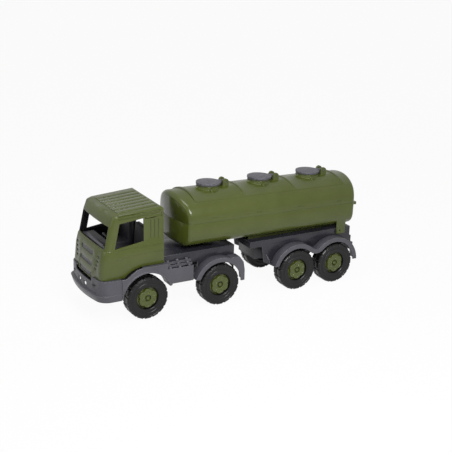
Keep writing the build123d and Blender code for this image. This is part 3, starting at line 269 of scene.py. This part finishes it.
# green darkened as painted shade, for the floors of the grooves between the roof's ribs
GROOVE_SHADE_GREEN = plastic("groove_green_plastic", (0.016, 0.021, 0.003), (0.022, 0.028, 0.005), 0.45, 900, 0.02)
# pieces whose grey is darkened as painted shade
SHADED_FRAMES = ("tractor_frame", "trailer_frame", "rear_beam", "kingpin")


def finish(piece, slot):
    """Gives a piece its finish; the frames get grey darkened as painted shade."""
    piece.data.materials.clear()
    piece.data.materials.append(SHADE_GREY if piece.name.startswith(SHADED_FRAMES) else FINISHES[slot])


for node, source in frame["nodes"].items():
    finish(source, SLOT_OF[node])

# ------------------------------------------------------------------ tyres
LUGS = 16
FACETS = 16                 # from one lug to the next
TREAD_FLAT = 41.5           # middle of a lug's flat
TREAD_FOOT = 40.5
LUG_HALF_ANGLE = 8.0
TYRE_WIDTH = 29.0
SHOULDER = 3.0
SHOULDER_SHARE = 0.938      # side outline to tread
TREAD_GROOVE = 1.4          # half width of the groove round the middle of the tread
GROOVE_DEPTH = 1.2
RIM_FLANK = 36.4            # where the lugs end on the side wall
FLANK_DROP = 0.4
BORE_DEPTH = 21.0
AXLE_HOLE = 2.1
# ring by ring inwards on the side wall: width of the ring, then its step along the axle
SIDE_RINGS = (
    (0.5, -0.7), (4.9, 0.0), (0.5, 0.6), (1.5, 0.0), (0.5, -0.6), (4.9, 0.0), (0.8, -0.9), (0.8, -0.9),
)


def off_lug(place, hub):
    """Degrees from the middle of the nearest lug, the first lug standing on the floor."""
    turn = math.degrees(math.atan2(place.z - hub.z, place.x - hub.x)) + 90
    pitch = 360 / LUGS
    return (turn + pitch / 2) % pitch - pitch / 2


def set_outline(tyre, hub, near, radius_at):
    """In edit mode, moves the points for which near(place) holds to the radius for their angle on a lug."""
    step = 360 / LUGS / FACETS
    for k in range(FACETS // 2):
        off = (k + 0.5) * step
        pick_points(tyre, lambda p: near(p) and abs(abs(off_lug(p, hub)) - off) < step / 4)
        bpy.ops.object.mode_set(mode="OBJECT")
        now = next(math.hypot(v.co.x - hub.x, v.co.z - hub.z) for v in tyre.data.vertices if v.select)
        bpy.ops.object.mode_set(mode="EDIT")
        grow = radius_at(off) * MM / now
        bpy.ops.transform.resize(value=(grow, 1, grow), center_override=hub)


def tread_radius(off):
    """Radius of the tread at an angle from a lug's middle: a flat, then the gap."""
    return TREAD_FLAT / math.cos(math.radians(off)) if off < LUG_HALF_ANGLE else TREAD_FOOT


def lugged_tyre(name, hub):
    """A toy tyre: flat lugs in two rows with a groove between, ringed walls, a bore and an axle hole."""
    half = TYRE_WIDTH / 2 * MM
    deselect()
    bpy.ops.mesh.primitive_cylinder_add(vertices=LUGS * FACETS, radius=TREAD_FOOT * MM, depth=2 * half,
                                        location=hub, rotation=(math.pi / 2, math.pi / (LUGS * FACETS), 0))
    tyre = bpy.context.object
    tyre.name = name
    settle(tyre)
    bpy.ops.object.mode_set(mode="EDIT")
    set_outline(tyre, hub, lambda p: True, tread_radius)
    for y in (half - SHOULDER * MM, TREAD_GROOVE * MM, -TREAD_GROOVE * MM, SHOULDER * MM - half):
        bpy.ops.mesh.select_all(action="SELECT")
        bpy.ops.mesh.bisect(plane_co=(hub.x, hub.y + y, hub.z), plane_no=(0, 1, 0))
    pick_points(tyre, lambda p: abs(abs(p.y - hub.y) - half) < 0.01 * MM)
    bpy.ops.transform.resize(value=(SHOULDER_SHARE, 1, SHOULDER_SHARE), center_override=hub)
    pick_faces(tyre, lambda c, n: abs(n.y) < 0.9 and abs(c.y - hub.y) < TREAD_GROOVE * MM)
    bpy.ops.mesh.extrude_region_shrink_fatten(TRANSFORM_OT_shrink_fatten={"value": -GROOVE_DEPTH * MM})
    outwards = 1 if hub.y > 0 else -1
    for way in (1, -1):
        pick_faces(tyre, lambda c, n: n.y * way > 0.9 and abs(c.y - hub.y) > half - 0.01 * MM)
        bpy.ops.mesh.extrude_region_move(TRANSFORM_OT_translate={"value": (0, -way * FLANK_DROP * MM, 0)})
        flank = hub.y + way * (half - FLANK_DROP * MM)
        set_outline(tyre, hub, lambda p: abs(p.y - flank) < 0.01 * MM, lambda off: RIM_FLANK)
        pick_faces(tyre, lambda c, n: abs(n.y) > 0.9 and abs(c.y - flank) < 0.01 * MM)
        for width, step in SIDE_RINGS:
            bpy.ops.mesh.inset(thickness=width * MM, use_even_offset=True)
            bpy.ops.transform.translate(value=(0, way * step * MM, 0))
        if way == outwards:
            bpy.ops.mesh.extrude_region_move(TRANSFORM_OT_translate={"value": (0, -way * BORE_DEPTH * MM, 0)})
        rim = RIM_FLANK - sum(width for width, step in SIDE_RINGS)
        bpy.ops.mesh.inset(thickness=(rim - AXLE_HOLE) * MM, use_even_offset=True)
        bpy.ops.mesh.delete(type="FACE")
    bpy.ops.mesh.select_all(action="DESELECT")
    bpy.ops.mesh.select_non_manifold(extend=False, use_wire=False, use_boundary=True, use_multi_face=False,
                                     use_non_contiguous=False, use_verts=False)
    bpy.ops.mesh.bridge_edge_loops()
    bpy.ops.mesh.select_all(action="SELECT")
    bpy.ops.mesh.normals_make_consistent(inside=False)
    bpy.ops.object.mode_set(mode="OBJECT")
    round_edges(tyre, 0.3 * MM, angle=28)
    return tyre


def middle(node):
    """The middle of a CAD part's box."""
    low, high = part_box(node)
    return (low + high) / 2


first_tyres = {}
for node in [n for n in frame["nodes"] if "_tyre_" in n]:
    hub, side = middle(node), node.rsplit("_", 1)[1]
    if side not in first_tyres:
        tyre = lugged_tyre(f"{node}_lugged", hub)
        first_tyres[side] = tyre, hub
    else:
        first, first_hub = first_tyres[side]
        tyre = copy_to(first, f"{node}_lugged", hub - first_hub)
    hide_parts(node)
    add_piece(tyre, BODY_OF[node], "tyre_black")

# ------------------------------------------------------------------ rounded mouldings, and painted shade on some of their faces
def second_finish(moulding, material, wanted):
    """Gives the faces for which wanted(centre, normal) holds a finish of their own."""
    moulding.data.materials.append(material)
    moulding.active_material_index = len(moulding.data.materials) - 1
    pick(moulding)
    bpy.ops.object.mode_set(mode="EDIT")
    pick_faces(moulding, wanted)
    bpy.ops.object.material_slot_assign()
    bpy.ops.object.mode_set(mode="OBJECT")


# faces of the cab that look inwards get near-black painted shade
INWARDS = 0.3               # how far a face of the cab has to look at the cab's middle to be an inner one
UPWARDS = 0.9
FORWARDS = 0.6
ROOF_FOOT = 200.0
ROOF_GROOVES = (8.0, 24.0, 40.0)    # middles of the grooves between the roof's ribs
GROOVE_REACH = 1.5
GROOVE_ENDS = (166.5, 244.8)
GRILLE_REAR = 270.0
# height of the lower edge, height, distance from the centre line and half width of each sunk field
SUNK_FIELDS = [(z, 7.4, 0.0, 28.0) for z in (83.5, 104.0, 124.5)]
SUNK_FIELDS += [(z, 3.6, y, 4.6) for z, y in ((102.0, 44.0), (110.0, 46.5), (118.0, 49.0), (126.0, 51.5))]


def on_roof(centre, normal):
    """Whether a face is a top face of the cab's roof."""
    return normal.z > UPWARDS and centre.z > ROOF_FOOT * MM


def in_roof_groove(centre, normal):
    """Whether a face is the floor of a groove between two of the roof's ribs."""
    rear, front = GROOVE_ENDS
    return on_roof(centre, normal) and rear * MM < centre.x < front * MM and any(
        abs(abs(centre.y) - y * MM) < GROOVE_REACH * MM for y in ROOF_GROOVES)


def in_grille(centre, normal):
    """Whether a face is the floor of a sunk field in the cab's front."""
    if normal.x < FORWARDS or centre.x < GRILLE_REAR * MM:
        return False
    return any(foot * MM < centre.z < (foot + tall) * MM and abs(abs(centre.y) - y * MM) < half * MM
               for foot, tall, y, half in SUNK_FIELDS)


def paint_cab_shade(moulding):
    """Paints shade on the cab: near-black on its inside, darkened grey on the floors of its grille and
    louvres, and darkened green on the floors of its roof's grooves.
    """
    low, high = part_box("cab_shell")
    heart = (low + high) / 2
    second_finish(moulding, FINISHES["dark_plastic"], lambda c, n: n.dot((heart - c).normalized()) > INWARDS)
    second_finish(moulding, SHADE_GREY, in_grille)
    bpy.ops.object.mode_set(mode="EDIT")
    for x in GROOVE_ENDS:
        pick_faces(moulding, on_roof)
        bpy.ops.mesh.bisect(plane_co=(x * MM, 0, 0), plane_no=(1, 0, 0))
    bpy.ops.object.mode_set(mode="OBJECT")
    second_finish(moulding, GROOVE_SHADE_GREEN, in_roof_groove)


DASH_SHADE_FRONT = 263.5          # the painted shade on the dashboard ends here, and its lit ledge begins


def shade_dashboard(moulding):
    """Paints shade on the dashboard: near-black behind the lit ledge below the windscreen."""
    pick(moulding)
    bpy.ops.object.mode_set(mode="EDIT")
    bpy.ops.mesh.select_all(action="SELECT")
    bpy.ops.mesh.bisect(plane_co=(DASH_SHADE_FRONT * MM, 0, 0), plane_no=(1, 0, 0))
    bpy.ops.object.mode_set(mode="OBJECT")
    second_finish(moulding, FINISHES["dark_plastic"], lambda c, n: c.x < DASH_SHADE_FRONT * MM)


STEP_REAR, STEP_FRONT = 90.0, 154.0
TREADS = (92.0, 96.5, 101.0)        # heights of the three treads, from the outer one in
TREAD_DEPTH = 5.9


def on_tread(centre, normal):
    """Whether a face is the top of one of the three treads."""
    return normal.z > UPWARDS and STEP_REAR * MM < centre.x < STEP_FRONT * MM and any(
        abs(centre.z - top * MM) < 0.3 * MM for top in TREADS)


def shade_treads(moulding):
    """Paints shade on the treads of a stepped ledge, in the near-black of the cab's inside."""
    second_finish(moulding, FINISHES["dark_plastic"], on_tread)


# radius of the rounded edges, where it isn't the usual one
EDGES = {"seats": 1.2, "dashboard": 0.8, "steering_wheel": 0.3, "front_bumper": 0.5, "rear_beam": 0.6}
USUAL_EDGE = 0.4
# pieces with painted shade on some of their faces
PAINTED_SHADES = {
    "cab_shell": paint_cab_shade, "dashboard": shade_dashboard,
    "valance_left": shade_treads, "valance_right": shade_treads,
}
for node in frame["nodes"]:
    if "axle" not in node and "tyre" not in node:
        moulding = moulding_of(node, EDGES.get(node, USUAL_EDGE) * MM)
        finish(moulding, SLOT_OF[node])
        if node in PAINTED_SHADES:
            PAINTED_SHADES[node](moulding)

# ------------------------------------------------------------------ small mouldings of the cab and the steps, and a tray of painted shade in the bumper
# the crease along the door: x and height of its middle, rear end first
DOOR_CREASE = (
    (159.6, 129.3), (177.7, 129.7), (198.2, 129.6), (212.3, 128.8), (226.8, 127.4), (242.4, 125.2),
    (255.0, 122.6),
)
CREASE_HALF = 0.7           # half of its height on the door
CREASE_PROUD = 0.55
CREASE_EDGE = 0.4


def door_crease(side_name, way):
    """A low ridge that follows the crease of one door."""
    low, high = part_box("cab_shell")
    wall = high.y if way > 0 else low.y
    rear, front = DOOR_CREASE[0][0], DOOR_CREASE[-1][0]
    deselect()
    bpy.ops.mesh.primitive_cube_add(size=1, location=((rear + front) / 2 * MM, wall, 0),
                                    scale=((front - rear) * MM, 2 * CREASE_PROUD * MM, 2 * CREASE_HALF * MM))
    ridge = bpy.context.object
    ridge.name = f"door_crease_{side_name}"
    settle(ridge)
    bpy.ops.object.mode_set(mode="EDIT")
    for x, z in DOOR_CREASE[1:-1]:
        bpy.ops.mesh.select_all(action="SELECT")
        bpy.ops.mesh.bisect(plane_co=(x * MM, 0, 0), plane_no=(1, 0, 0))
    for x, z in DOOR_CREASE:
        pick_points(ridge, lambda p: abs(p.x - x * MM) < 0.05 * MM)
        bpy.ops.transform.translate(value=(0, 0, z * MM))
    bpy.ops.object.mode_set(mode="OBJECT")
    round_edges(ridge, CREASE_EDGE * MM)
    add_piece(ridge, "tractor", "green_plastic")


for side_name, way in SIDES:
    door_crease(side_name, way)


STUD_RADIUS = 3.1
STUD_HEIGHT = 2.4
STUD_RIM = 0.9              # width of the slope round its raised top
STUD_CROWN = 0.35
STUD_SUNK = 0.1
STUD_COLUMNS = (148.0, 128.0, 108.0)
SMALL_EDGE = 0.3
FENDER_LIP = 1.2            # how far the arch stands out past the treads


def step_stud(place):
    """One round stud with a raised top."""
    deselect()
    bpy.ops.mesh.primitive_cylinder_add(vertices=24, radius=STUD_RADIUS * MM, depth=STUD_HEIGHT * MM,
                                        location=place)
    stud = bpy.context.object
    settle(stud)
    bpy.ops.object.mode_set(mode="EDIT")
    pick_faces(stud, lambda c, n: n.z > UPWARDS)
    bpy.ops.mesh.inset(thickness=STUD_RIM * MM, use_even_offset=True)
    bpy.ops.transform.translate(value=(0, 0, STUD_CROWN * MM))
    bpy.ops.object.mode_set(mode="OBJECT")
    round_edges(stud, SMALL_EDGE * MM)
    return stud


def step_studs(side_name, way):
    """The studs on the treads of one stepped ledge, the first modelled and the others copied from it."""
    low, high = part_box(f"valance_{side_name}")
    edge = (high.y if way > 0 else -low.y) - FENDER_LIP * MM
    places = [Vector((x * MM, way * (edge - (row + 0.5) * TREAD_DEPTH * MM),
                      (top + STUD_HEIGHT / 2 - STUD_SUNK) * MM))
              for row, top in enumerate(TREADS) for x in STUD_COLUMNS]
    studs = [step_stud(places[0])]
    studs += [copy_to(studs[0], "stud", place - places[0]) for place in places[1:]]
    for number, stud in enumerate(studs, 1):
        stud.name = f"step_stud_{side_name}_{number}"
        # the studs take the paler lid plastic: painted highlight on the valance's grey studs
        add_piece(stud, "tractor", "lid_plastic")


for side_name, way in SIDES:
    step_studs(side_name, way)

TRAY_MIDDLE = (284.3, 0.0, 72.8)
TRAY_SIZE = (16.6, 100.0, 2.0)


def bumper_tray():
    """A near-black tray inside the bumper, below the gap under the cab's front panel: painted shade in the
    gap.
    """
    deselect()
    bpy.ops.mesh.primitive_cube_add(size=1, location=Vector(TRAY_MIDDLE) * MM, scale=Vector(TRAY_SIZE) * MM)
    tray = bpy.context.object
    tray.name = "bumper_tray"
    settle(tray)
    round_edges(tray, SMALL_EDGE * MM)
    add_piece(tray, "tractor", "dark_plastic")


bumper_tray()

# ------------------------------------------------------------------ floor, light, camera
SURROUND = 0.10             # light that the white surround throws on the lorry
FLOOR_GLOW = 0.95           # share of the floor that the camera sees as plain white
GLOSS_SHARE = 0.62          # how white floor and surround are in a reflection
LAMPS = (
    # name, place, what it is aimed at, size, watts
    ("overhead", (0.25, 0.1, 1.6), (0, 0, 0.1), (0.9, 0.6), 7.0),
    ("left", (0.26, 1.1, 0.95), (0.05, 0, 0.1), (0.7, 0.5), 15.5),
    ("front", (1.5, 0.1, 0.7), (0.1, 0, 0.1), (0.6, 0.5), 1.8),
)


def looked_at(tree):
    """1 for a ray from the camera or through glass, GLOSS_SHARE for one from gloss."""
    ray = tree.nodes.new("ShaderNodeLightPath")
    seen = ray.outputs["Is Camera Ray"]
    for kind, share in (("Is Glossy Ray", GLOSS_SHARE), ("Is Transmission Ray", 1.0)):
        part, higher = tree.nodes.new("ShaderNodeMath"), tree.nodes.new("ShaderNodeMath")
        part.operation, higher.operation = "MULTIPLY", "MAXIMUM"
        part.inputs[1].default_value = share
        tree.links.new(ray.outputs[kind], part.inputs[0])
        tree.links.new(seen, higher.inputs[0])
        tree.links.new(part.outputs["Value"], higher.inputs[1])
        seen = higher.outputs["Value"]
    return seen


def studio():
    """A white floor and surround, and three lamps."""
    deselect()
    bpy.ops.mesh.primitive_plane_add(size=14, location=(0, 0, 0))
    floor = bpy.context.object
    floor.name = "floor"
    paper = bpy.data.materials.new("paper")
    paper.use_nodes = True
    tree = paper.node_tree
    shader = tree.nodes["Principled BSDF"]
    shader.inputs["Base Color"].default_value = (0.82, 0.82, 0.82, 1)
    shader.inputs["Roughness"].default_value = 0.9
    glow = node_of(tree, "ShaderNodeEmission", Strength=1.0)
    share = tree.nodes.new("ShaderNodeMixShader")
    part = node_of(tree, "ShaderNodeMath")
    part.operation = "MULTIPLY"
    part.inputs[1].default_value = FLOOR_GLOW
    tree.links.new(looked_at(tree), part.inputs[0])
    tree.links.new(part.outputs["Value"], share.inputs["Fac"])
    tree.links.new(shader.outputs["BSDF"], share.inputs[1])
    tree.links.new(glow.outputs["Emission"], share.inputs[2])
    tree.links.new(share.outputs["Shader"], tree.nodes["Material Output"].inputs["Surface"])
    floor.data.materials.append(paper)

    world = bpy.data.worlds.new("surround")
    bpy.context.scene.world = world
    world.use_nodes = True
    tree = world.node_tree
    ground = tree.nodes["Background"]
    ground.inputs["Color"].default_value = (1, 1, 1, 1)
    level = node_of(tree, "ShaderNodeMapRange")
    level.inputs["To Min"].default_value, level.inputs["To Max"].default_value = SURROUND, 1.0
    tree.links.new(looked_at(tree), level.inputs["Value"])
    tree.links.new(level.outputs["Result"], ground.inputs["Strength"])

    for name, place, aim, size, power in LAMPS:
        data = bpy.data.lights.new(name, "AREA")
        data.shape = "RECTANGLE"
        data.size, data.size_y = size
        data.energy = power
        lamp = bpy.data.objects.new(name, data)
        bpy.context.scene.collection.objects.link(lamp)
        lamp.location = place
        lamp.rotation_euler = (Vector(aim) - Vector(place)).to_track_quat("-Z", "Y").to_euler()


def camera():
    """The camera, in front of the lorry's left side and a little above it."""
    around, above, lean = math.radians(60.27), math.radians(18.88), math.radians(1.44)
    distance, focal_pixels, image_pixels = 2.19302, 995.92, 452
    aim = Vector((-0.10357, -0.15763, 0.06735))
    back = Vector((math.cos(above) * math.cos(around), math.cos(above) * math.sin(around), math.sin(above)))
    level = (-back).cross(Vector((0, 0, 1))).normalized()
    rise = level.cross(-back)
    right = level * math.cos(lean) + rise * math.sin(lean)
    up = -level * math.sin(lean) + rise * math.cos(lean)
    place = aim + back * distance
    data = bpy.data.cameras.new("camera")
    data.sensor_width = 36
    data.lens = focal_pixels * data.sensor_width / image_pixels
    data.clip_end = 50
    seat = bpy.data.objects.new("camera", data)
    seat.matrix_world = Matrix((
        (right.x, up.x, back.x, place.x), (right.y, up.y, back.y, place.y), (right.z, up.z, back.z, place.z),
        (0, 0, 0, 1),
    ))
    bpy.context.scene.collection.objects.link(seat)
    bpy.context.scene.camera = seat


studio()
camera()
bpy.context.scene.view_settings.view_transform = "Standard"
